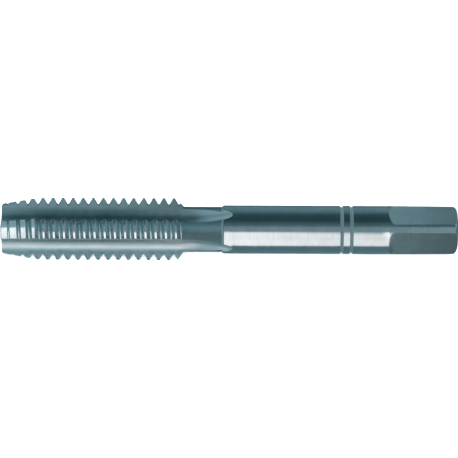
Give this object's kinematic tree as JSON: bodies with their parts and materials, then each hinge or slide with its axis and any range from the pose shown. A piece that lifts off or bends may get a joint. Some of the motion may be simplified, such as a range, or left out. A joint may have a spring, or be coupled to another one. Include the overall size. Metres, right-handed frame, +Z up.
{
  "type": "thread tap",
  "caption": "Straight-fluted hand tap with a tapered lead, a relieved neck, a ringed round shank and a driving square, for cutting an internal screw thread.",
  "frame": {"origin": "bottom centre of the tap's box, under the middle of its length, on the surface it lies on", "axes": "+X along the tap's axis from the cutting tip to the driving square, +Z up, +Y away from the viewer"},
  "size_m": [0.0564, 0.0068, 0.0068],
  "materials": {
    "ground_steel": "ground high-speed steel, satin"
  },
  "bodies": {
    "root": {"tap_body": "ground_steel"}
  },
  "joints": []
}
